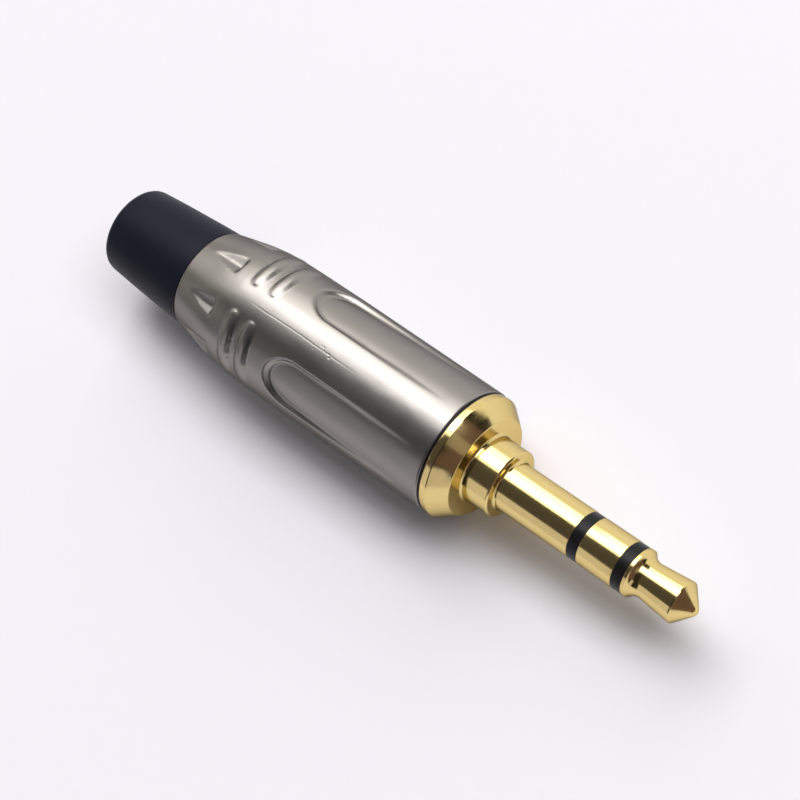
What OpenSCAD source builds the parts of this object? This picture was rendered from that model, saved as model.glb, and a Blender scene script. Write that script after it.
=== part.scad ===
// Stereo jack plug for a cable: gold pin with three contacts, die-cast grip shell, black boot.
// Millimetres, +Z up. The plug lies on its side with its axis along X and its tip towards +X.
// Stations along the axis count from the front face of the shell, positive towards the tip.

/* [Pin] */
// Diameter of the sleeve and ring contacts
pin_d = 3.5; // [3.3:0.05:4]
// Length of the sleeve from the collar to the first insulator
sleeve_len = 6.1; // [4:0.1:9]
// Length of each insulator that shows on the pin
insulator_len = 0.82; // [0.5:0.02:1.4]
// Depth by which an insulator lies below the gold
insulator_sink = 0.02; // [0:0.01:0.1]
// Length of the ring contact
ring_len = 2.78; // [1.8:0.02:4]
// Length of the tip from its insulator to the point
tip_len = 4.86; // [4.2:0.02:6]
// Length of the full-width band at the back of the tip
tip_band_len = 0.25; // [0.1:0.05:0.6]
// Diameter of the waist of the tip
tip_waist_d = 2.58; // [2.2:0.02:2.8]
// Radius of the hollow curve that leads into the waist
tip_hollow_r = 1; // [0.7:0.05:1.3]
// Diameter of the tip at its shoulder
tip_shoulder_d = 3.08; // [2.9:0.02:3.3]
// Length of the pointed end ahead of the shoulder
tip_point_len = 1.26; // [0.9:0.02:1.6]
// Radius of the rounded point
tip_nose_r = 0.3; // [0.15:0.05:0.5]

/* [Collar and flange] */
// Diameter of the collar behind the sleeve
collar_d = 4.9; // [4.4:0.1:6]
// Length of the collar
collar_len = 2.2; // [1:0.1:4]
// Diameter of the flange that closes the shell
flange_d = 9.2; // [8.6:0.1:10]
// Length of the straight rim of the flange
flange_rim_len = 0.5; // [0.3:0.05:1]
// Length of the tapered part of the flange
flange_taper_len = 1.2; // [0.6:0.1:2]
// Diameter of the flat front face of the flange
flange_face_d = 7.3; // [6.2:0.1:8.2]
// Radius in the corners at the foot of the collar and of the sleeve
foot_r = 0.2; // [0.1:0.05:0.3]
// Bevel on the front edge of the collar
collar_bevel = 0.12; // [0.05:0.01:0.2]
// Thickness of the black washer between flange and shell
front_washer_t = 0.2; // [0.1:0.05:0.5]
// Diameter of the screwed part behind the flange
thread_d = 7; // [6.6:0.1:7.4]
// Length of the screwed part, from the front face of the shell
thread_len = 4; // [3:0.1:6]
// Diameter of the spigot that carries the ground lug
spigot_d = 4; // [3.6:0.1:4.4]

/* [Shell] */
// Length of the shell
shell_len = 23.6; // [22:0.1:28]
// Diameter at the front face
shell_front_d = 9.3; // [9:0.1:10]
// Diameter at the widest section
shell_barrel_d = 9.5; // [9.2:0.1:10.4]
// Diameter at the rear rim
shell_rear_d = 7.6; // [7.2:0.1:8.4]
// Length of the tapered rear end
shell_taper_len = 4; // [3.9:0.1:5]
// Diameter at the front of the tapered rear end
shell_taper_d = 9.3; // [9.1:0.1:9.4]
// Distance of the widest section from the rear rim
barrel_at = 9.1; // [8:0.1:12]
// Bevel on the front and rear edges
shell_bevel = 0.1; // [0.05:0.01:0.2]
// Diameter of the main bore
shell_bore_d = 6.8; // [6.6:0.05:6.9]

/* [Grip] */
// Number of recessed panels round the shell
panel_count = 4; // [3:1:5]
// Turn of the grip pattern about the axis, in degrees
grip_turn = -45; // [-45:1:45]
// Width of a recessed panel
panel_w = 3.64; // [2.6:0.02:4]
// Distance of the round end of a panel from the rear rim
panel_at = 9.7; // [9.2:0.1:12]
// Depth of a panel at its round end
panel_depth = 0.42; // [0.2:0.02:0.6]
// Distance from the front face at which the panel floor runs out
panel_fade = 1; // [0.6:0.1:4]
// Number of finger ribs on each face
rib_count = 2; // [1:1:2]
// Distance of the first rib from the rear rim
rib_at = 5.8; // [5.4:0.1:6.4]
// Distance between ribs
rib_pitch = 1.6; // [1.2:0.1:1.8]
// Width of a rib
rib_w = 0.8; // [0.6:0.05:1]
// Length of a rib across its face
rib_reach = 4.7; // [3.4:0.1:5]
// Height of a rib above the widest section
rib_rise = 0.12; // [0.04:0.01:0.2]
// Radius of the crowned top of a rib
rib_crown_r = 1.1; // [0.5:0.05:1.2]
// Number of triangular dents round the rear end
dent_count = 8; // [4:1:8]
// Distance of the front wall of a dent from the rear rim
dent_at = 3.9; // [3.2:0.1:4.2]
// Width of a dent at its front wall
dent_w = 2.2; // [1.4:0.1:2.4]
// Depth of a dent at its front wall
dent_depth = 0.48; // [0.25:0.01:0.5]

/* [Boot] */
// Length of the boot behind the shell
boot_len = 7.9; // [6:0.1:12]
// Diameter of the boot where it meets the shell
boot_front_d = 7.56; // [7:0.02:7.7]
// Diameter of the boot at its rear end
boot_rear_d = 6.5; // [6:0.1:7]
// Radius of the rear edge of the boot
boot_edge_r = 0.6; // [0.2:0.05:0.7]
// Diameter of the cable hole
cable_d = 4.2; // [3:0.1:4.4]
// Bevel at the mouth of the cable hole
cable_bevel = 0.25; // [0.1:0.05:0.3]
// Diameter of the neck that screws into the shell
neck_d = 5.9; // [5.6:0.1:6]
// Length of the neck
neck_len = 4.2; // [3:0.1:4.4]

/* [Inner contacts] */
// Diameter of the rod behind the tip
rod_d = 1; // [0.9:0.05:1.1]
// Wall of the two insulating tubes in the pin
tube_wall = 0.24; // [0.18:0.01:0.26]
// Wall of the tube behind the ring contact
ring_wall = 0.28; // [0.2:0.01:0.32]
// Thickness of the sheet of the solder lugs
lug_t = 0.35; // [0.2:0.05:0.5]
// Thickness of the insulating discs between the lugs
disc_t = 0.6; // [0.4:0.1:1]
// Diameter of the eye of the ground lug, and of its cable clamp
ground_eye_d = 5; // [4.8:0.1:5.6]
// Diameter of the eye of the ring lug
ring_eye_d = 3.9; // [3:0.1:4]
// Diameter of the eye of the tip lug and of the disc under it
tip_eye_d = 2.8; // [2.2:0.1:3]
// Width of the tails of the ring and tip lugs
tail_w = 1.3; // [1:0.1:1.6]
// Length of the tails of the ring and tip lugs
tail_len = 4; // [3:0.1:5]
// Diameter of the wire hole in a tail
wire_hole_d = 0.7; // [0.4:0.05:0.8]
// Distance of the outer face of the ring tail from the axis
ring_tail_y = 2.4; // [2.1:0.05:2.5]
// Diameter of the riveted end of the rod
rivet_d = 1.6; // [1.4:0.1:2]
// Height of the riveted end of the rod
rivet_h = 0.4; // [0.2:0.05:0.6]
// Width of the strap of the ground lug
strap_w = 1.8; // [1.2:0.1:2]
// Length of the strap from its eye to the cable clamp
strap_len = 8; // [7:0.1:9]
// Length of the cable clamp
clamp_len = 2.6; // [1.5:0.1:3]
// Angle that the two ears of the clamp span
clamp_span = 230; // [180:5:260]
// Wall of the insulating liner
liner_wall = 0.35; // [0.2:0.05:0.4]

/* [Fits] */
// Gap between parts that are pressed together
press_gap = 0.02; // [0.01:0.01:0.03]
// Gap between parts that slide or screw together
slide_gap = 0.05; // [0.03:0.01:0.08]

/* [Hidden] */
$fn = 72;
overcut = 1;

// Stations along the axis, from the point of the tip back to the end of the boot
s_flange = front_washer_t;
s_taper = s_flange + flange_rim_len;
s_collar = s_taper + flange_taper_len;
s_sleeve = s_collar + collar_len;
s_insul_1 = s_sleeve + sleeve_len;
s_ring = s_insul_1 + insulator_len;
s_insul_2 = s_ring + ring_len;
s_tip = s_insul_2 + insulator_len;
s_shoulder = s_tip + tip_len - tip_point_len;
s_end = s_tip + tip_len;
s_body = -thread_len;
s_ground = s_body - lug_t;
s_ring_lug = s_ground - disc_t;
s_ring_end = s_ring_lug - lug_t;
s_tip_lug = s_ring_end - disc_t;
s_tip_end = s_tip_lug - lug_t;
s_rear = -shell_len;
s_boot = s_rear - boot_len;
s_bore = s_rear + neck_len + slide_gap;
s_mid = (s_end + s_boot) / 2;

// Radii
pin_r = pin_d / 2;
rod_r = rod_d / 2;
tip_tube_in = rod_r + press_gap;
tip_tube_out = tip_tube_in + tube_wall;
ring_tube_in = tip_tube_out + press_gap;
ring_tube_out = ring_tube_in + ring_wall;
sleeve_tube_in = ring_tube_out + press_gap;
sleeve_tube_out = sleeve_tube_in + tube_wall;
sleeve_bore = sleeve_tube_out + press_gap;
bore_r = shell_bore_d / 2;
thread_bore_r = thread_d / 2 + slide_gap;
neck_bore_r = neck_d / 2 + slide_gap;
cable_r = cable_d / 2;
clamp_out = ground_eye_d / 2;
clamp_in = clamp_out - lug_t;
rib_top_r = shell_barrel_d / 2 + rib_rise;

// Height of the axis above the table: the plug lies on its barrel, or on a rib that is underneath
face_step = 360 / panel_count;
rib_half = asin(rib_reach / 2 / rib_top_r);
face_off = (180 - grip_turn) % face_step;
rib_off = max(min(face_off, face_step - face_off) - rib_half, 0);
rest_r = max(shell_barrel_d / 2, rib_top_r * cos(rib_off));

// Radius of the tapered rear end of the shell at a station
function taper_r(s) = (shell_rear_d + (shell_taper_d - shell_rear_d) * (s - s_rear) / shell_taper_len) / 2;

// Radius of the front half of the shell at a station
function front_r(s) = (shell_front_d + (shell_barrel_d - shell_front_d) * s / (s_rear + barrel_at)) / 2;

// Places a piece drawn along Z on the axis of the lying plug, its X side up
module on_axis() {
    translate([-s_mid, 0, rest_r]) rotate([180, -90, 0]) children();
}

// Round ring between two radii and two stations
module tube(r_in, r_out, s_0, s_1) {
    rotate_extrude() translate([r_in, s_0]) square([r_out - r_in, s_1 - s_0]);
}

// Hollow corner between a wall and a face, as a profile
module foot(r) {
    difference() {
        square(r);
        translate([r, r]) circle(r);
    }
}

// Slot outline with round ends, its length across
module slot_shape(reach, w) {
    square([w, reach - w], center = true);
    for (side = [-1, 1]) translate([0, side * (reach - w) / 2]) circle(w / 2);
}

// Turned tip with its rod, riveted over the rearmost lug
module tip_contact() {
    waist_r = tip_waist_d / 2;
    hollow_x = waist_r + tip_hollow_r;
    s_band = s_tip + tip_band_len;
    s_waist = s_band + sqrt(pow(tip_hollow_r, 2) - pow(hollow_x - pin_r, 2));
    color("gold") on_axis() rotate_extrude() difference() {
        polygon([[0, s_tip_end - rivet_h], [rod_r, s_tip_end - rivet_h], [rivet_d / 2, s_tip_end],
                 [rod_r, s_tip_end], [rod_r, s_tip], [pin_r, s_tip], [pin_r, s_waist],
                 [waist_r, s_waist], [tip_shoulder_d / 2, s_shoulder],
                 [tip_nose_r, s_end - tip_nose_r / 2], [0, s_end]]);
        translate([hollow_x, s_waist]) circle(tip_hollow_r);
    }
}

// Moulded bush: a ring that shows on the pin and a tube that runs back through it
module bush(tube_in, tube_out, s_back, s_face) {
    on_axis() {
        tube(tube_in, pin_r - insulator_sink, s_face, s_face + insulator_len);
        tube(tube_in, tube_out, s_back, s_face);
    }
}

module tip_insulator() {
    color("black") bush(tip_tube_in, tip_tube_out, s_ring_end, s_insul_2);
}

module ring_insulator() {
    color("black") bush(sleeve_tube_in, sleeve_tube_out, s_ground, s_insul_1);
}

// Turned ring with its tube, spread over the ring lug
module ring_contact() {
    color("gold") on_axis() {
        tube(ring_tube_in, pin_r, s_ring, s_insul_2);
        tube(ring_tube_in, ring_tube_out, s_ring_end, s_ring);
    }
}

// Turned body: sleeve, collar, tapered flange, screwed part and spigot
module sleeve_contact() {
    collar_r = collar_d / 2;
    color("gold") on_axis() rotate_extrude() {
        polygon([[sleeve_bore, s_ground], [spigot_d / 2, s_ground], [spigot_d / 2, s_body],
                 [thread_d / 2, s_body], [thread_d / 2, s_flange], [flange_d / 2, s_flange],
                 [flange_d / 2, s_taper], [flange_face_d / 2, s_collar], [collar_r, s_collar],
                 [collar_r, s_sleeve - collar_bevel], [collar_r - collar_bevel, s_sleeve],
                 [pin_r, s_sleeve], [pin_r, s_insul_1], [sleeve_bore, s_insul_1]]);
        translate([collar_r, s_collar]) foot(foot_r);
        translate([pin_r, s_sleeve]) foot(foot_r);
    }
}

// Thin black washer between the flange and the shell
module front_washer() {
    color("black") on_axis() tube(thread_bore_r, (flange_d - collar_bevel) / 2, 0, s_flange);
}

// Stamped ground lug: eye on the spigot, strap and open cable clamp
module ground_lug() {
    s_clamp = s_ground - strap_len - clamp_len;
    color("silver") on_axis() {
        tube(spigot_d / 2 + press_gap, clamp_out, s_ground, s_body);
        translate([-clamp_out, -strap_w / 2, s_clamp]) cube([lug_t, strap_w, s_body - s_clamp]);
        rotate(180 - clamp_span / 2) rotate_extrude(angle = clamp_span)
            translate([clamp_in, s_clamp]) square([lug_t, clamp_len]);
    }
}

module ground_disc() {
    color("ivory") on_axis() tube(ring_tube_out + press_gap, clamp_in - slide_gap, s_ring_lug, s_ground);
}

module ring_disc() {
    color("ivory") on_axis() tube(rod_r + press_gap, tip_eye_d / 2, s_tip_lug, s_ring_end);
}

// Stamped lug: round eye and a tail bent back along the axis, with a wire hole
module tail_lug(hole_r, eye_d, tail_y, s_0) {
    s_tail = s_0 - tail_len;
    difference() {
        union() {
            translate([0, 0, s_0]) cylinder(d = eye_d, h = lug_t);
            translate([-tail_w / 2, 0, s_0]) cube([tail_w, tail_y, lug_t]);
            translate([-tail_w / 2, tail_y - lug_t, s_tail]) cube([tail_w, lug_t, tail_len + lug_t]);
        }
        translate([0, 0, s_0 - overcut]) cylinder(r = hole_r, h = lug_t + 2 * overcut);
        translate([0, tail_y - lug_t - overcut, s_tail + tail_w / 2]) rotate([-90, 0, 0])
            cylinder(d = wire_hole_d, h = lug_t + 2 * overcut, $fn = 24);
    }
}

module ring_lug() {
    color("silver") on_axis() tail_lug(ring_tube_out + press_gap, ring_eye_d, ring_tail_y, s_ring_end);
}

module tip_lug() {
    color("silver") on_axis() rotate(180) tail_lug(rod_r + press_gap, tip_eye_d, tip_eye_d / 2, s_tip_end);
}

// Insulating tube that lines the bore of the shell
module liner() {
    s_front = s_body - slide_gap;
    color("ivory") on_axis()
        tube(bore_r - slide_gap - liner_wall, bore_r - slide_gap, s_bore, s_front - slide_gap);
}

// Outer form of the shell before the grip is cut
module shell_skin() {
    front_x = shell_front_d / 2;
    rear_x = shell_rear_d / 2;
    rotate_extrude() polygon([[0, s_rear], [rear_x - shell_bevel, s_rear], [rear_x, s_rear + shell_bevel],
                              [shell_taper_d / 2, s_rear + shell_taper_len],
                              [shell_barrel_d / 2, s_rear + barrel_at],
                              [front_x, -shell_bevel], [front_x - shell_bevel, 0], [0, 0]]);
}

// Finger ribs of one face, crowned and round-ended
module ribs() {
    for (k = [0 : rib_count - 1]) {
        s_rib = s_rear + rib_at + k * rib_pitch;
        intersection() {
            translate([bore_r, 0, s_rib]) rotate([0, 90, 0])
                linear_extrude(height = rib_top_r) slot_shape(rib_reach, rib_w);
            rotate_extrude() translate([rib_top_r - rib_crown_r, s_rib]) circle(rib_crown_r);
        }
    }
}

// Recess of one panel: round rear end, straight sides, floor that runs out to the front
module panel_cut() {
    s_panel = s_rear + panel_at;
    s_round = s_panel + panel_w / 2;
    floor_rear = front_r(s_panel) - panel_depth;
    floor_slope = (front_r(-panel_fade) - floor_rear) / (-panel_fade - s_panel);
    difference() {
        rotate([0, 90, 0]) linear_extrude(height = rib_top_r + overcut) {
            translate([-s_round, 0]) circle(panel_w / 2);
            translate([0, -panel_w / 2]) square([-s_round, panel_w]);
        }
        translate([0, 0, s_panel - overcut])
            cylinder(r1 = floor_rear - floor_slope * overcut,
                     r2 = floor_rear + floor_slope * (overcut - s_panel), h = 2 * overcut - s_panel);
    }
}

// Triangular dent: a level valley that deepens as the shell widens, closed by a front wall
module dent_cut() {
    s_dent = s_rear + dent_at;
    valley = taper_r(s_dent) - dent_depth;
    rise = 3 * dent_depth;
    half = 3 * dent_w / 2;
    translate([0, 0, s_rear - overcut]) linear_extrude(height = dent_at + overcut)
        polygon([[valley, 0], [valley + rise, half], [valley + rise, -half]]);
}

// Bore of the shell: screwed mouth, main bore and the hole for the neck of the boot
module shell_bore() {
    s_step = s_body - slide_gap;
    translate([0, 0, s_step]) cylinder(r = thread_bore_r, h = overcut - s_step);
    translate([0, 0, s_bore - slide_gap]) cylinder(r = bore_r, h = overcut - s_bore);
    translate([0, 0, s_rear - overcut]) cylinder(r = neck_bore_r, h = neck_len + 2 * overcut);
}

// Die-cast shell with recessed panels, finger ribs and a ring of dents
module shell() {
    color("silver") on_axis() difference() {
        union() {
            shell_skin();
            for (k = [0 : panel_count - 1]) rotate(grip_turn + k * 360 / panel_count) ribs();
        }
        for (k = [0 : panel_count - 1]) rotate(grip_turn + k * 360 / panel_count) panel_cut();
        for (k = [0 : dent_count - 1]) rotate(grip_turn + (k + 0.5) * 360 / dent_count) dent_cut();
        shell_bore();
    }
}

// Black boot: neck inside the shell, tapered body with a round rear edge, cable hole
module boot() {
    rear_x = boot_rear_d / 2;
    edge_x = rear_x - boot_edge_r;
    color("black") on_axis() rotate_extrude() {
        polygon([[cable_r + cable_bevel, s_boot], [edge_x, s_boot], [edge_x, s_boot + boot_edge_r],
                 [rear_x, s_boot + boot_edge_r], [boot_front_d / 2, s_rear], [neck_d / 2, s_rear],
                 [neck_d / 2, s_rear + neck_len], [cable_r, s_rear + neck_len],
                 [cable_r, s_boot + cable_bevel]]);
        intersection() {
            translate([edge_x, s_boot + boot_edge_r]) circle(boot_edge_r);
            translate([edge_x, s_boot]) square(boot_edge_r);
        }
    }
}

tip_contact();
tip_insulator();
ring_contact();
ring_insulator();
sleeve_contact();
front_washer();
ground_lug();
ground_disc();
ring_lug();
ring_disc();
tip_lug();
liner();
shell();
boot();
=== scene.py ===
import math

import bmesh
import bpy
from mathutils import Matrix, Vector


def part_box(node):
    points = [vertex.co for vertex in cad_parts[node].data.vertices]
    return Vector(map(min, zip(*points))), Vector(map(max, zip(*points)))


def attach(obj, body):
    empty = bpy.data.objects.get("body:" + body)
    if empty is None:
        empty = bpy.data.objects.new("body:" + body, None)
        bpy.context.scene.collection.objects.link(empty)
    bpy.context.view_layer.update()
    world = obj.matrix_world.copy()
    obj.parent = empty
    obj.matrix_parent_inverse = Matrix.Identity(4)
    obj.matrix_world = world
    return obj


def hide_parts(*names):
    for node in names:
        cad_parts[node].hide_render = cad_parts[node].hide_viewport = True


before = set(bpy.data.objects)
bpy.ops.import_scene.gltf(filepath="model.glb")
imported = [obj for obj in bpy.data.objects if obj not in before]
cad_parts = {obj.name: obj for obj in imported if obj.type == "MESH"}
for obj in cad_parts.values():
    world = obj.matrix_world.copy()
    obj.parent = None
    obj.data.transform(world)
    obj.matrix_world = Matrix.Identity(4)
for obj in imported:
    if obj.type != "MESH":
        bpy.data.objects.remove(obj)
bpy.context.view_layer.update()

# Tip contact: brass turned in one piece with the rod that runs back through the pin, gold plated.
# Its band, hollow waist, shoulder and point are the profile that a spring in the socket snaps over.
# The rear end of the rod is riveted over the last solder lug.
MM = 0.001
SAME_SPOT = 0.0005
ROUND_STEPS = 128
CORNER_STEPS = 5
SMOOTH_TO = 30
boot_low, boot_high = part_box("boot")
FRONT_FACE = Vector((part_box("shell")[1].x, 0, (boot_low.z + boot_high.z) / 2))


def start_mesh(name):
    """Names the primitive that was just added and opens it in edit mode."""
    piece = bpy.context.object
    piece.name = name
    piece.data.name = name
    bpy.ops.object.mode_set(mode="EDIT")
    return piece


def pick(piece, wanted):
    """Selects the vertices of the open mesh whose place passes the test, and nothing else."""
    bpy.ops.mesh.select_mode(type="VERT")
    bpy.ops.mesh.select_all(action="DESELECT")
    mesh = bmesh.from_edit_mesh(piece.data)
    for vertex in mesh.verts:
        vertex.select = wanted(vertex.co)
    mesh.select_flush(True)
    bmesh.update_edit_mesh(piece.data)


def merge_doubles():
    """Merges the vertices of the open mesh that lie on one spot."""
    bpy.ops.mesh.select_all(action="SELECT")
    bpy.ops.mesh.remove_doubles(threshold=SAME_SPOT)


def turned(name, profile, steps=ROUND_STEPS):
    """Draws a half profile in millimetres and spins it round the axis of the plug.

    Each point of the profile is a station from the front face of the shell, a radius and the size of
    the corner there. A profile that doesn't start and end on the axis is closed to a ring.
    """
    bpy.ops.object.select_all(action="DESELECT")
    bpy.ops.mesh.primitive_plane_add(size=1)
    piece = start_mesh(name)
    bpy.ops.mesh.merge(type="CENTER")
    outline = [Vector((station, 0, radius)) for station, radius, _ in profile]
    closed = outline[0].z > 0 or outline[-1].z > 0
    bpy.ops.transform.translate(value=outline[0])
    here = outline[0]
    for place in outline[1:] + outline[:1] * closed:
        bpy.ops.mesh.extrude_region_move(TRANSFORM_OT_translate={"value": place - here})
        here = place
    merge_doubles()
    for size in sorted({corner for _, _, corner in profile if corner}):
        corners = [place for place, spot in zip(outline, profile) if spot[2] == size]
        pick(piece, lambda co: any((co - place).length < 2 * SAME_SPOT for place in corners))
        bpy.ops.mesh.bevel(offset=size, segments=CORNER_STEPS, affect="VERTICES")
    bpy.ops.mesh.select_all(action="SELECT")
    bpy.ops.mesh.spin(steps=steps, angle=2 * math.pi, center=(0, 0, 0), axis=(1, 0, 0))
    merge_doubles()
    bpy.ops.mesh.normals_make_consistent(inside=False)
    bpy.ops.object.mode_set(mode="OBJECT")
    return piece


def take_up(piece):
    """Selects this piece alone and makes it the active one."""
    bpy.ops.object.select_all(action="DESELECT")
    piece.select_set(True)
    bpy.context.view_layer.objects.active = piece


def put_in_place(piece, smooth_to=SMOOTH_TO):
    """Brings a piece drawn in millimetres on the X axis to its place in the plug, smooth shaded."""
    take_up(piece)
    piece.scale = (MM, MM, MM)
    piece.location = FRONT_FACE
    bpy.ops.object.transform_apply(location=True, rotation=True, scale=True)
    bpy.ops.object.shade_smooth_by_angle(angle=math.radians(smooth_to))


ROD_R = 0.5
PIN_R = 1.75
TIP_BACK = 14.62
TIP_BAND_END = 14.87
TIP_WAIST_AT = 15.712
TIP_WAIST_R = 1.29
TIP_HOLLOW_R = 1.0
HOLLOW_STEPS = 12
TIP_SHOULDER = (18.22, 1.54)
SHOULDER_CORNER = 0.08
TIP_END = 19.48
NOSE_R = 0.3
NOSE_CORNER = 0.12
RIVET_BACK = -6.65
RIVET_FRONT = -6.25
RIVET_R = 0.8
RIVET_CORNER = 0.1
EDGE = 0.03

hollow_start = math.acos((TIP_WAIST_AT - TIP_BAND_END) / TIP_HOLLOW_R)
hollow = []
for step in range(HOLLOW_STEPS + 1):
    angle = hollow_start + (math.pi / 2 - hollow_start) * step / HOLLOW_STEPS
    hollow.append((TIP_WAIST_AT - TIP_HOLLOW_R * math.cos(angle),
                   TIP_WAIST_R + TIP_HOLLOW_R * (1 - math.sin(angle)), 0))
tip_contact = turned("tip_contact_gold", [
    (RIVET_BACK, 0, 0), (RIVET_BACK, ROD_R, RIVET_CORNER), (RIVET_FRONT, RIVET_R, EDGE),
    (RIVET_FRONT, ROD_R, 0), (TIP_BACK, ROD_R, 0), (TIP_BACK, PIN_R, EDGE)] + hollow + [
    TIP_SHOULDER + (SHOULDER_CORNER,), (TIP_END - NOSE_R / 2, NOSE_R, NOSE_CORNER), (TIP_END, 0, 0)])
put_in_place(tip_contact)

# Places of the colour sockets on Blender's Mix node, whose names are not unique.
MIX_FACTOR, MIX_FIRST, MIX_SECOND, MIX_RESULT = 0, 6, 7, 2


def material_nodes(name):
    """Starts a procedural material and gives its node tree, its main shader and object coordinates."""
    material = bpy.data.materials.new(name)
    material.use_nodes = True
    tree = material.node_tree
    shader = tree.nodes["Principled BSDF"]
    place = tree.nodes.new("ShaderNodeTexCoord")
    return material, tree, shader, place.outputs["Object"]


def noise_on(tree, place, scale, detail, stretch=(1, 1, 1)):
    """Noise over the object's own coordinates, drawn out along some axes."""
    mapping = tree.nodes.new("ShaderNodeMapping")
    mapping.inputs["Scale"].default_value = stretch
    noise = tree.nodes.new("ShaderNodeTexNoise")
    noise.inputs["Scale"].default_value = scale
    noise.inputs["Detail"].default_value = detail
    tree.links.new(place, mapping.inputs["Vector"])
    tree.links.new(mapping.outputs["Vector"], noise.inputs["Vector"])
    return noise.outputs["Fac"]


def spread(tree, value, low, high, start=0.3, end=0.7):
    """Maps a pattern to the range that a socket needs."""
    span = tree.nodes.new("ShaderNodeMapRange")
    span.inputs["From Min"].default_value = start
    span.inputs["From Max"].default_value = end
    span.inputs["To Min"].default_value = low
    span.inputs["To Max"].default_value = high
    tree.links.new(value, span.inputs["Value"])
    return span.outputs["Result"]


def colour_by(tree, shader, pattern, first, second):
    """Gives the surface a colour that goes from one tone to another with a pattern."""
    mix = tree.nodes.new("ShaderNodeMix")
    mix.data_type = "RGBA"
    mix.inputs[MIX_FIRST].default_value = first + (1,)
    mix.inputs[MIX_SECOND].default_value = second + (1,)
    tree.links.new(pattern, mix.inputs[MIX_FACTOR])
    tree.links.new(mix.outputs[MIX_RESULT], shader.inputs["Base Color"])


def roughness_by(tree, shader, pattern, low, high):
    """Gives the surface a roughness that goes from one value to another with a pattern."""
    tree.links.new(spread(tree, pattern, low, high), shader.inputs["Roughness"])


def relief_by(tree, shader, pattern, depth, strength):
    """Gives the surface the fine relief of a pattern, its depth in metres."""
    bump = tree.nodes.new("ShaderNodeBump")
    bump.inputs["Distance"].default_value = depth
    bump.inputs["Strength"].default_value = strength
    tree.links.new(pattern, bump.inputs["Height"])
    tree.links.new(bump.outputs["Normal"], shader.inputs["Normal"])


GOLD_DEEP = (0.79, 0.612, 0.24)
GOLD_PALE = (0.82, 0.642, 0.272)
gold, tree, shader, place = material_nodes("gold_plate")
lathe_marks = noise_on(tree, place, scale=9000, detail=3, stretch=(1, 0.03, 0.03))
cloud = noise_on(tree, place, scale=260, detail=2)
colour_by(tree, shader, cloud, GOLD_DEEP, GOLD_PALE)
roughness_by(tree, shader, lathe_marks, low=0.12, high=0.18)
relief_by(tree, shader, lathe_marks, depth=0.002 * MM, strength=0.25)
shader.inputs["Metallic"].default_value = 1
shader.inputs["Specular Tint"].default_value = (0.45, 0.45, 0.45, 1)
tip_contact.data.materials.append(gold)
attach(tip_contact, "root")
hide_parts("tip_contact")

# Tip insulator: a black moulded bush, its rim flush with the gold and its tube round the rod.
# It is pressed in between the tip and the ring and keeps the two apart.
PRESS_GAP = 0.02
INSULATOR_WALL = 0.24
INSULATOR_R = 1.73
INSULATOR_EDGE = 0.02
TIP_INSULATOR_FACE = 13.80
RING_END = -5.3
tip_tube_in = ROD_R + PRESS_GAP
tip_tube_out = tip_tube_in + INSULATOR_WALL
tip_insulator = turned("tip_insulator_bush", [
    (RING_END, tip_tube_in, 0), (RING_END, tip_tube_out, 0), (TIP_INSULATOR_FACE, tip_tube_out, 0),
    (TIP_INSULATOR_FACE, INSULATOR_R, INSULATOR_EDGE), (TIP_BACK, INSULATOR_R, INSULATOR_EDGE),
    (TIP_BACK, tip_tube_in, 0)])
put_in_place(tip_insulator)

RESIN_BLACK = (0.006, 0.0055, 0.0055)
RESIN_GREY = (0.010, 0.009, 0.010)
black_insulator, tree, shader, place = material_nodes("black_insulator_resin")
speckle = noise_on(tree, place, scale=3000, detail=4)
colour_by(tree, shader, speckle, RESIN_BLACK, RESIN_GREY)
roughness_by(tree, shader, speckle, low=0.28, high=0.4)
relief_by(tree, shader, speckle, depth=0.004 * MM, strength=0.2)
shader.inputs["Specular IOR Level"].default_value = 0.18
tip_insulator.data.materials.append(black_insulator)
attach(tip_insulator, "root")
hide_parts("tip_insulator")

# Ring contact: a gold-plated brass ring turned in one piece with its tube.
# The tube runs back inside the sleeve and is spread over the ring lug.
RING_BACK = 11.02
RING_WALL = 0.28
ring_tube_in = tip_tube_out + PRESS_GAP
ring_tube_out = ring_tube_in + RING_WALL
ring_contact = turned("ring_contact_gold", [
    (RING_END, ring_tube_in, 0), (RING_END, ring_tube_out, 0), (RING_BACK, ring_tube_out, 0),
    (RING_BACK, PIN_R, EDGE), (TIP_INSULATOR_FACE, PIN_R, EDGE), (TIP_INSULATOR_FACE, ring_tube_in, 0)])
put_in_place(ring_contact)
ring_contact.data.materials.append(gold)
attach(ring_contact, "root")
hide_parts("ring_contact")

# Ring insulator: the second black bush, moulded like the first, between the ring and the sleeve.
# Its tube is pressed in and lines the whole bore of the sleeve.
RING_INSULATOR_FACE = 10.2
SPIGOT_BACK = -4.35
sleeve_tube_in = ring_tube_out + PRESS_GAP
sleeve_tube_out = sleeve_tube_in + INSULATOR_WALL
ring_insulator = turned("ring_insulator_bush", [
    (SPIGOT_BACK, sleeve_tube_in, 0), (SPIGOT_BACK, sleeve_tube_out, 0),
    (RING_INSULATOR_FACE, sleeve_tube_out, 0), (RING_INSULATOR_FACE, INSULATOR_R, INSULATOR_EDGE),
    (RING_BACK, INSULATOR_R, INSULATOR_EDGE), (RING_BACK, sleeve_tube_in, 0)])
put_in_place(ring_insulator)
ring_insulator.data.materials.append(black_insulator)
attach(ring_insulator, "root")
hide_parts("ring_insulator")

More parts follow.
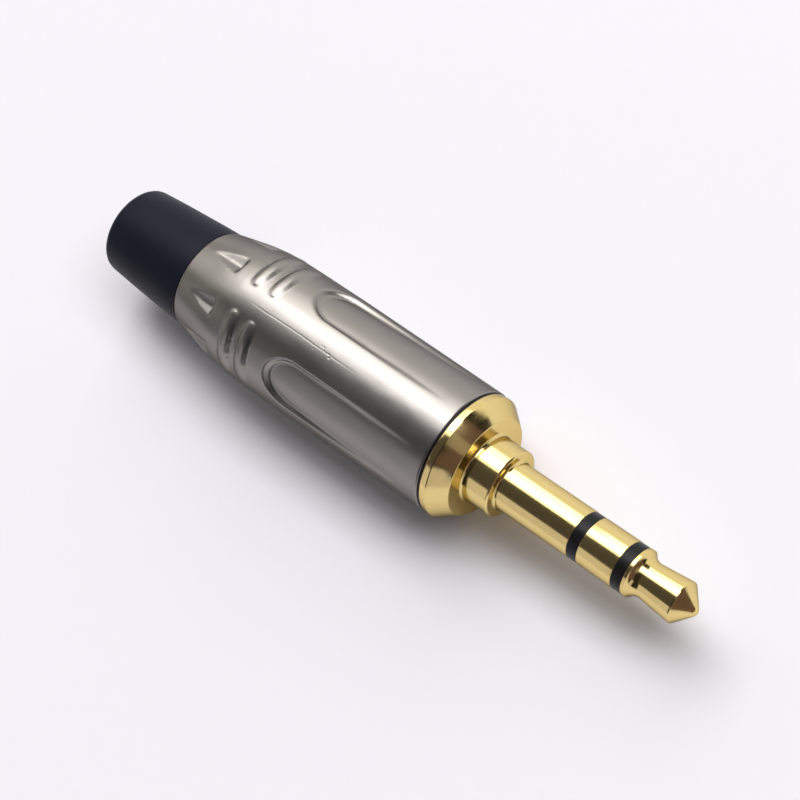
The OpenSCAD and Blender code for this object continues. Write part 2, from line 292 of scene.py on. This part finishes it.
# Sleeve contact: the turned brass body of the plug, gold plated: sleeve, collar, tapered flange,
# and behind the flange the screwed part that holds the shell and the spigot for the ground lug.
SPIGOT_R = 2.0
THREAD_R = 3.5
THREAD_BACK = -4.0
THREAD_CORNER = 0.1
WASHER_T = 0.2
FLANGE_R = 4.6
FLANGE_RIM_END = 0.7
FLANGE_FACE = (1.9, 3.65)
FLANGE_CORNER = 0.05
COLLAR_R = 2.45
COLLAR_END = 4.1
COLLAR_BEVEL = 0.12
FOOT_R = 0.2
sleeve_bore = sleeve_tube_out + PRESS_GAP
sleeve_contact = turned("sleeve_contact_gold", [
    (SPIGOT_BACK, sleeve_bore, 0), (SPIGOT_BACK, SPIGOT_R, EDGE), (THREAD_BACK, SPIGOT_R, 0),
    (THREAD_BACK, THREAD_R, THREAD_CORNER), (WASHER_T, THREAD_R, 0),
    (WASHER_T, FLANGE_R, FLANGE_CORNER), (FLANGE_RIM_END, FLANGE_R, FLANGE_CORNER),
    FLANGE_FACE + (FLANGE_CORNER,), (FLANGE_FACE[0], COLLAR_R, FOOT_R),
    (COLLAR_END - COLLAR_BEVEL, COLLAR_R, EDGE), (COLLAR_END, COLLAR_R - COLLAR_BEVEL, EDGE),
    (COLLAR_END, PIN_R, FOOT_R), (RING_INSULATOR_FACE, PIN_R, EDGE),
    (RING_INSULATOR_FACE, sleeve_bore, 0)])
put_in_place(sleeve_contact)
sleeve_contact.data.materials.append(gold)
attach(sleeve_contact, "root")
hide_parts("sleeve_contact")

# Front washer: a thin black fibre ring that the flange clamps against the shell.
# Its shape is right as it is in the frame, so it only gets its finish.


def dress(node, material):
    """Gives a solid that stays from the frame its finish."""
    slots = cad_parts[node].data.materials
    slots.clear()
    slots.append(material)


dress("front_washer", black_insulator)

# Solder lugs: stamped brass sheet, tinned, with eyes on the spigot, ring tube and rod.
# The ground lug has a strap and an open clamp for the screen of the cable.
TIN_DULL = (0.62, 0.62, 0.60)
TIN_BRIGHT = (0.72, 0.72, 0.71)
tin, tree, shader, place = material_nodes("tinned_sheet")
rolled = noise_on(tree, place, scale=4000, detail=3, stretch=(0.15, 1, 1))
film = noise_on(tree, place, scale=700, detail=3)
colour_by(tree, shader, film, TIN_DULL, TIN_BRIGHT)
roughness_by(tree, shader, film, low=0.25, high=0.45)
relief_by(tree, shader, rolled, depth=0.004 * MM, strength=0.3)
shader.inputs["Metallic"].default_value = 1
for lug in ("ground_lug", "ring_lug", "tip_lug"):
    dress(lug, tin)

# Discs and liner: pale moulded insulators. The two discs are threaded on between the lugs and keep
# them apart, and the liner is a tube pushed into the shell that keeps the lugs from its wall.
RESIN_IVORY = (0.74, 0.70, 0.60)
RESIN_CREAM = (0.80, 0.77, 0.68)
pale, tree, shader, place = material_nodes("pale_insulator_resin")
milky = noise_on(tree, place, scale=900, detail=4)
colour_by(tree, shader, milky, RESIN_IVORY, RESIN_CREAM)
roughness_by(tree, shader, milky, low=0.4, high=0.55)
relief_by(tree, shader, milky, depth=0.006 * MM, strength=0.2)
for insulator in ("ground_disc", "ring_disc", "liner"):
    dress(insulator, pale)

# Shell: die-cast zinc, tumbled and plated in satin nickel, screwed up against the washer.
# Its grip is cast in: four recessed panels, pairs of finger ribs and a ring of triangular dents.
# A fine parting line from the two halves of the die runs along the top and the underside.
SHELL_REAR = -23.6
SHELL_REAR_R = 3.79
TAPER_END = (-19.6, 4.67)
TAPER_BLEND = 1.5
BARREL = (-14.5, 4.75)
BARREL_BLEND = 2.0
SHELL_FRONT_R = 4.65
SHELL_EDGE = 0.06
SHELL_STEPS = 256
SHELL_SMOOTH_TO = 45
STOCK = 0.5
FACES = 4
CLEAR = 1.0


def add_modifier(piece, kind, **settings):
    """Adds a modifier to the piece, sets it and applies it."""
    take_up(piece)
    modifier = piece.modifiers.new(kind.lower(), kind)
    for name, value in settings.items():
        setattr(modifier, name, value)
    bpy.ops.object.modifier_apply(modifier=modifier.name)


def combine(piece, other, operation):
    """Joins, cuts or keeps the common part of two solids, and removes the second."""
    add_modifier(piece, "BOOLEAN", object=other, operation=operation, solver="EXACT")
    bpy.data.meshes.remove(other.data)


def turn_about_axis(piece, degrees):
    """Turns a piece round the axis of the plug and applies the turn and its place."""
    take_up(piece)
    piece.rotation_euler = (math.radians(degrees), 0, 0)
    bpy.ops.object.transform_apply(location=True, rotation=True, scale=True)


def ring_of(piece, count, first):
    """Copies a piece round the axis, each copy with its own mesh, and joins the copies to it."""
    copies = []
    for number in range(1, count):
        copy = piece.copy()
        copy.data = piece.data.copy()
        bpy.context.collection.objects.link(copy)
        turn_about_axis(copy, first + number * 360 / count)
        copies.append(copy)
    turn_about_axis(piece, first)
    for copy in copies:
        copy.select_set(True)
    bpy.ops.object.join()


taper_slope = (TAPER_END[1] - SHELL_REAR_R) / (TAPER_END[0] - SHELL_REAR)
front_slope = (BARREL[1] - SHELL_FRONT_R) / BARREL[0]
shell = turned("shell_satin_nickel", [
    (SHELL_REAR - STOCK, 0, 0), (SHELL_REAR - STOCK, SHELL_REAR_R - taper_slope * STOCK, 0),
    TAPER_END + (TAPER_BLEND,), BARREL + (BARREL_BLEND,),
    (STOCK, SHELL_FRONT_R + front_slope * STOCK, 0), (STOCK, 0, 0)], SHELL_STEPS)

# The ribs are slices of a ring with a round crown, cut to a slot with round ends. The ring's centre
# lies above the axis, so that each rib sinks into the shell towards its ends.
RIB_STATIONS = (-17.8, -16.2)
RIB_W = 0.8
RIB_REACH = 5.0
RIB_BLOCK = 3
RIB_END_R = RIB_W / 2 - 0.01
RIB_END_STEPS = 10
RIB_TOP_R = 4.93
RIB_SINK = 0.88
RIB_CROWN_R = 1.2
RIB_CROWN_STEPS = 48
for station in RIB_STATIONS:
    bpy.ops.object.select_all(action="DESELECT")
    bpy.ops.mesh.primitive_cube_add(size=1, location=(station, 0, RIB_TOP_R),
                                    scale=(RIB_W, RIB_REACH, RIB_BLOCK))
    rib = start_mesh("rib")
    mesh = bmesh.from_edit_mesh(rib.data)
    bpy.ops.mesh.select_mode(type="EDGE")
    bpy.ops.mesh.select_all(action="DESELECT")
    for edge in mesh.edges:
        foot, head = edge.verts
        edge.select = abs(foot.co.z - head.co.z) > RIB_BLOCK / 2
    bmesh.update_edit_mesh(rib.data)
    bpy.ops.mesh.bevel(offset=RIB_END_R, segments=RIB_END_STEPS)
    bpy.ops.object.mode_set(mode="OBJECT")
    turn_about_axis(rib, 0)
    bpy.ops.object.select_all(action="DESELECT")
    bpy.ops.mesh.primitive_torus_add(major_radius=RIB_TOP_R - RIB_SINK - RIB_CROWN_R,
                                     minor_radius=RIB_CROWN_R, major_segments=SHELL_STEPS,
                                     minor_segments=RIB_CROWN_STEPS, location=(station, 0, RIB_SINK),
                                     rotation=(0, math.pi / 2, 0))
    combine(rib, bpy.context.object, "INTERSECT")
    ring_of(rib, FACES, 180 / FACES)
    combine(shell, rib, "UNION")

# A panel is cut by a long block with a round rear end and sloping walls. A cone has been taken from
# its underside, which leaves the round floor that rises and runs out towards the front.
PANEL_W = 4.1
PANEL_REAR = -13.9
PANEL_DEPTH = 0.40
PANEL_FADE = -1.0
PANEL_BLOCK = 0.6
PANEL_STEPS = 96
PANEL_RUN_OUT = 3.0
WALL_SLOPE = 1.0
floor_rear = SHELL_FRONT_R + front_slope * PANEL_REAR - PANEL_DEPTH
floor_front = SHELL_FRONT_R + front_slope * PANEL_FADE
floor_slope = (floor_front - floor_rear) / (PANEL_FADE - PANEL_REAR)
wall_middle = floor_rear + PANEL_DEPTH / 2
bpy.ops.object.select_all(action="DESELECT")
bpy.ops.mesh.primitive_cylinder_add(vertices=PANEL_STEPS, radius=PANEL_W / 2, depth=2 * PANEL_BLOCK,
                                    location=(PANEL_REAR + PANEL_W / 2, 0, wall_middle))
panel = start_mesh("panel")
for outward in (1, -1):
    flare = 1 + outward * PANEL_BLOCK * WALL_SLOPE / (PANEL_W / 2)
    pick(panel, lambda co: co.z * outward > 0)
    bpy.ops.transform.resize(value=(flare, flare, 1), center_override=panel.location)
pick(panel, lambda co: co.x > 2 * SAME_SPOT)
bpy.ops.transform.translate(value=(-PANEL_REAR, 0, 0))
bpy.ops.object.mode_set(mode="OBJECT")
turn_about_axis(panel, 0)
panel_floor = turned("panel_floor", [
    (PANEL_REAR - CLEAR, 0, 0), (PANEL_REAR - CLEAR, floor_rear - floor_slope * CLEAR, 0),
    (PANEL_RUN_OUT, floor_front + floor_slope * (PANEL_RUN_OUT - PANEL_FADE), 0),
    (PANEL_RUN_OUT, 0, 0)], SHELL_STEPS)
combine(panel, panel_floor, "DIFFERENCE")
ring_of(panel, FACES, 180 / FACES)
combine(shell, panel, "DIFFERENCE")

# A dent is cut by a wedge with its edge down. The edge lies almost level while the taper widens, so
# the dent grows from a point at the rear to the steep wall at its front.
DENTS = 8
DENT_WALL = -19.7
DENT_W = 2.3
DENT_DEPTH = 0.49
DENT_REACH = 1.6
VALLEY_SLOPE = 0.05
valley = SHELL_REAR_R + taper_slope * (DENT_WALL - SHELL_REAR) - DENT_DEPTH
dent_tall = DENT_DEPTH * DENT_REACH
bpy.ops.object.select_all(action="DESELECT")
bpy.ops.mesh.primitive_cube_add(size=1, location=(0, 0, 0))
dent = start_mesh("dent")
bpy.ops.transform.resize(value=(DENT_WALL - SHELL_REAR + CLEAR, DENT_W * DENT_REACH, dent_tall))
bpy.ops.transform.translate(value=((DENT_WALL + SHELL_REAR - CLEAR) / 2, 0, valley + dent_tall / 2))
pick(dent, lambda co: co.z < valley + dent_tall / 2)
bpy.ops.transform.resize(value=(1, 0, 1), center_override=(0, 0, valley))
merge_doubles()
bpy.ops.mesh.normals_make_consistent(inside=False)
pick(dent, lambda co: co.x < SHELL_REAR)
bpy.ops.transform.translate(value=(0, 0, VALLEY_SLOPE * (SHELL_REAR - CLEAR - DENT_WALL)))
bpy.ops.object.mode_set(mode="OBJECT")
ring_of(dent, DENTS, 180 / DENTS)
combine(shell, dent, "DIFFERENCE")

# Tumbling and plating round off every edge of the casting, so its whole skin is remeshed and smoothed.
GRAIN = 0.105
TUMBLING = 0.5
TUMBLING_ROUNDS = 4
add_modifier(shell, "REMESH", mode="VOXEL", voxel_size=GRAIN)
add_modifier(shell, "SMOOTH", factor=TUMBLING, iterations=TUMBLING_ROUNDS)

# One cutter turns the stepped bore, faces both ends and breaks their outer edges.
THREAD_BORE_R = 3.55
THREAD_BORE_END = -4.05
MAIN_BORE_R = 3.4
NECK_BORE_R = 3.0
NECK_END = -19.4
TRIM_R = 5.2
rear_face_r = SHELL_REAR_R - SHELL_EDGE
front_face_r = SHELL_FRONT_R - SHELL_EDGE
bore = turned("bore", [
    (SHELL_REAR - CLEAR, 0, 0), (SHELL_REAR - CLEAR, TRIM_R, 0),
    (SHELL_REAR + TRIM_R - rear_face_r, TRIM_R, 0), (SHELL_REAR, rear_face_r, 0),
    (SHELL_REAR, NECK_BORE_R, 0), (NECK_END, NECK_BORE_R, 0), (NECK_END, MAIN_BORE_R, 0),
    (THREAD_BORE_END, MAIN_BORE_R, 0), (THREAD_BORE_END, THREAD_BORE_R, 0), (0, THREAD_BORE_R, 0),
    (0, front_face_r, 0), (front_face_r - TRIM_R, TRIM_R, 0), (CLEAR, TRIM_R, 0), (CLEAR, 0, 0)],
    SHELL_STEPS)
combine(shell, bore, "DIFFERENCE")
bpy.ops.object.mode_set(mode="EDIT")
merge_doubles()
bpy.ops.object.mode_set(mode="OBJECT")
put_in_place(shell, SHELL_SMOOTH_TO)


def work_out(tree, operation, first, second):
    """One step of arithmetic on patterns; either side may be a number."""
    step = tree.nodes.new("ShaderNodeMath")
    step.operation = operation
    for socket, value in zip(step.inputs, (first, second)):
        if isinstance(value, (int, float)):
            socket.default_value = value
        else:
            tree.links.new(value, socket)
    return step.outputs["Value"]


def between_stations(tree, along, rear, front):
    """One along a stretch of the plug and nothing outside it, each end faded between two stations."""
    fade_in = spread(tree, along, 0, 1, *[FRONT_FACE.x + station * MM for station in rear])
    fade_out = spread(tree, along, 1, 0, *[FRONT_FACE.x + station * MM for station in front])
    return work_out(tree, "MULTIPLY", fade_in, fade_out)


NICKEL_DEEP = (0.305, 0.286, 0.262)
NICKEL_PALE = (0.335, 0.314, 0.288)
LINE_REAR = (-17.5, -16)
LINE_FRONT = (-9.5, -7)
LINE_WAVER = 0.05 * MM
GROOVE_SIDES = (0.02 * MM, 0.09 * MM)
RIDGE_SOFTNESS = 0.4 * MM
PITS_REAR = (-11.4, -11.0)
PITS_FRONT = (-9.6, -9.2)
PITS_SIDES = (0.15 * MM, 0.3 * MM)
PIT_CELLS = 2200
PIT_RIM = (0.12, 0.3)
BLAST_DEPTH = 0.0005 * MM
WAVE_DEPTH = 0.035 * MM
GROOVE_DEPTH = 0.006 * MM
RIDGE_HEIGHT = 0.003 * MM
PIT_DEPTH = 0.013 * MM
nickel, tree, shader, place = material_nodes("satin_nickel")
blast = noise_on(tree, place, scale=6500, detail=3)
tone = noise_on(tree, place, scale=500, detail=3, stretch=(0.5, 1, 1))
waves = noise_on(tree, place, scale=420, detail=2, stretch=(0.6, 1, 1))
sides = tree.nodes.new("ShaderNodeSeparateXYZ")
tree.links.new(place, sides.inputs["Vector"])
along, across = sides.outputs["X"], sides.outputs["Y"]
waver = spread(tree, noise_on(tree, place, scale=350, detail=2), -LINE_WAVER, LINE_WAVER)
off_line = work_out(tree, "ABSOLUTE", work_out(tree, "ADD", across, waver), 0)
on_line = between_stations(tree, along, LINE_REAR, LINE_FRONT)
groove = work_out(tree, "MULTIPLY", spread(tree, off_line, 1, 0, *GROOVE_SIDES), on_line)
down_ridge = work_out(tree, "DIVIDE", off_line, work_out(tree, "ADD", off_line, RIDGE_SOFTNESS))
ridge_sides = work_out(tree, "MULTIPLY", down_ridge, on_line)
cells = tree.nodes.new("ShaderNodeTexVoronoi")
cells.inputs["Scale"].default_value = PIT_CELLS
tree.links.new(place, cells.inputs["Vector"])
by_line = spread(tree, off_line, 1, 0, *PITS_SIDES)
pit_band = work_out(tree, "MULTIPLY", by_line, between_stations(tree, along, PITS_REAR, PITS_FRONT))
pits = work_out(tree, "MULTIPLY", spread(tree, cells.outputs["Distance"], 1, 0, *PIT_RIM), pit_band)
height = work_out(tree, "MULTIPLY", blast, BLAST_DEPTH)
height = work_out(tree, "ADD", height, work_out(tree, "MULTIPLY", waves, WAVE_DEPTH))
for low_part, depth in ((groove, GROOVE_DEPTH), (ridge_sides, RIDGE_HEIGHT), (pits, PIT_DEPTH)):
    height = work_out(tree, "SUBTRACT", height, work_out(tree, "MULTIPLY", low_part, depth))
colour_by(tree, shader, tone, NICKEL_DEEP, NICKEL_PALE)
roughness_by(tree, shader, tone, low=0.31, high=0.35)
relief_by(tree, shader, height, depth=1, strength=1)
shader.inputs["Metallic"].default_value = 1
shader.inputs["Specular Tint"].default_value = (0.28, 0.28, 0.28, 1)
shell.data.materials.append(nickel)
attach(shell, "root")
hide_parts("shell")

# Boot: black moulded plastic that grips the cable, its neck screwed into the rear of the shell.
# The body tapers to a rounded rear edge round the cable hole.
BOOT_BACK = -31.5
BOOT_REAR_R = 3.24
BOOT_REAR_CORNER = 0.6
BOOT_SWELL = (-27.0, 3.60)
BOOT_BLEND = 1.5
BOOT_FRONT_R = 3.78
BOOT_RIM = 0.06
NECK_R = 2.95
NECK_CORNER = 0.1
CABLE_R = 2.1
CABLE_BEVEL = 0.25
CABLE_CORNER = 0.05
boot = turned("boot_black", [
    (BOOT_BACK + CABLE_BEVEL, CABLE_R, EDGE), (BOOT_BACK, CABLE_R + CABLE_BEVEL, EDGE),
    (BOOT_BACK, BOOT_REAR_R, BOOT_REAR_CORNER), BOOT_SWELL + (BOOT_BLEND,),
    (SHELL_REAR, BOOT_FRONT_R, BOOT_RIM), (SHELL_REAR, NECK_R, 0),
    (NECK_END, NECK_R, NECK_CORNER), (NECK_END, CABLE_R, CABLE_CORNER)])
put_in_place(boot)

BOOT_DARK = (0.0065, 0.0075, 0.0146)
BOOT_LIGHT = (0.0083, 0.0095, 0.0175)
black_boot, tree, shader, place = material_nodes("satin_black_boot")
moulded = noise_on(tree, place, scale=5200, detail=4)
colour_by(tree, shader, moulded, BOOT_DARK, BOOT_LIGHT)
roughness_by(tree, shader, moulded, low=0.42, high=0.54)
relief_by(tree, shader, moulded, depth=0.004 * MM, strength=0.3)
shader.inputs["Specular IOR Level"].default_value = 0.11
boot.data.materials.append(black_boot)
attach(boot, "root")
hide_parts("boot")

# Table: a plain sheet of white paper that the plug lies on.
# It is far larger than the plug, so that it fills the picture and the metal mirrors it all round.
TABLE_SIDE = 4
PAPER_GREY = (0.844, 0.834, 0.86)
PAPER_WHITE = (0.854, 0.844, 0.87)
bpy.ops.object.select_all(action="DESELECT")
bpy.ops.mesh.primitive_plane_add(size=TABLE_SIDE)
table = bpy.context.object
table.name = "table"
paper, tree, shader, place = material_nodes("white_paper")
fibre = noise_on(tree, place, scale=900, detail=4)
colour_by(tree, shader, fibre, PAPER_GREY, PAPER_WHITE)
shader.inputs["Roughness"].default_value = 0.9
shader.inputs["Specular IOR Level"].default_value = 0.1
table.data.materials.append(paper)

# Light: a dim room with one large window on the +Y side, brightest in the middle and weaker at its
# edges, and what the window lights in turn: the ceiling, white walls and a far window.
# Each is a flat lamp that faces the plug, as bright all over as its number says.
REACH = 1.5
COOL = (0.97, 0.965, 1)
PALE = (1, 0.99, 0.94)
LILAC = (0.93, 0.9, 1)
ROSE = (1, 0.62, 0.68)
ROOM_TONE = (0.022, 0.021, 0.023, 1)


def flat_lamp(name, stand, width, height, brightness, colour):
    """Stands a rectangular lamp in the room, its power by its area."""
    data = bpy.data.lights.new(name, "AREA")
    data.shape = "RECTANGLE"
    data.size = width
    data.size_y = height
    data.energy = brightness * math.pi * width * height
    data.color = colour
    lamp = bpy.data.objects.new(name, data)
    bpy.context.collection.objects.link(lamp)
    lamp.matrix_world = stand


def long_lamp(name, angles, along, brightness, colour):
    """A lamp beside the plug: from one angle to another from straight up, and between two places in X."""
    angle_from, angle_to = angles
    start, end = along
    middle = math.radians((angle_from + angle_to) / 2)
    height = 2 * REACH * math.tan(math.radians(abs(angle_to - angle_from) / 2))
    stand = (Matrix.Translation(((start + end) / 2, 0, 0)) @ Matrix.Rotation(-middle, 4, "X")
             @ Matrix.Translation((0, 0, REACH)))
    flat_lamp(name, stand, end - start, height, brightness, colour)


def end_lamp(name, azimuth, elevation, size, brightness, colour):
    """A lamp before or behind the plug, in a direction from it and with a width and height."""
    towards = (Matrix.Rotation(math.radians(azimuth), 3, "Z")
               @ Matrix.Rotation(math.radians(-elevation), 3, "Y") @ Vector((1, 0, 0)))
    stand = Matrix.Translation(towards * REACH) @ towards.to_track_quat("Z", "Y").to_matrix().to_4x4()
    flat_lamp(name, stand, *size, brightness, colour)


long_lamp("window_edge", angles=(5.5, 14), along=(-1.24, 1.3), brightness=2, colour=COOL)
long_lamp("window", angles=(14, 38), along=(-1.24, 1.3), brightness=4.9, colour=COOL)
long_lamp("window_low", angles=(38, 62), along=(-1.24, -0.68), brightness=1.8, colour=PALE)
long_lamp("window_side", angles=(38, 62), along=(-0.68, -0.18), brightness=3.1, colour=COOL)
long_lamp("window_corner", angles=(-1, 5.5), along=(-1.4, -1.02), brightness=3, colour=COOL)
long_lamp("window_sill", angles=(62, 90), along=(-1.65, 1), brightness=0.95, colour=PALE)
long_lamp("ceiling", angles=(-56, -1), along=(-1.35, 0.1), brightness=0.055, colour=LILAC)
long_lamp("white_wall", angles=(-90, -56), along=(-1.0, -0.27), brightness=0.75, colour=LILAC)
long_lamp("white_wall_far", angles=(-90, -57), along=(0.85, 1.6), brightness=0.68, colour=LILAC)
end_lamp("back_wall", azimuth=158.5, elevation=33, size=(1.37, 0.98), brightness=0.95, colour=PALE)
end_lamp("back_corner", azimuth=210, elevation=23, size=(0.76, 0.82), brightness=0.46, colour=PALE)
end_lamp("far_window", azimuth=4.4, elevation=40.7, size=(0.5, 0.7), brightness=0.22, colour=PALE)
end_lamp("far_wall", azimuth=2, elevation=21, size=(2.2, 1.15), brightness=0.11, colour=ROSE)

world = bpy.data.worlds.new("dim_room")
world.use_nodes = True
world.node_tree.nodes["Background"].inputs["Color"].default_value = ROOM_TONE
bpy.context.scene.world = world

# Camera: it stands above the table, beyond the tip of the plug, and looks back and down at it.
# Its place, aim and lens were fitted to the outlines of the plug in the picture that it repeats.
camera_data = bpy.data.cameras.new("camera")
camera_data.lens = 107.9
camera_data.sensor_width = 36
camera_data.clip_start = 0.001
camera = bpy.data.objects.new("camera", camera_data)
bpy.context.collection.objects.link(camera)
camera.matrix_world = Matrix((
    (0.73228, -0.50051, 0.46180, 0.07386),
    (0.58818, 0.80662, -0.05844, -0.00885),
    (-0.34325, 0.31441, 0.88506, 0.14652),
    (0, 0, 0, 1)))
bpy.context.scene.camera = camera
bpy.context.scene.view_settings.view_transform = "Standard"
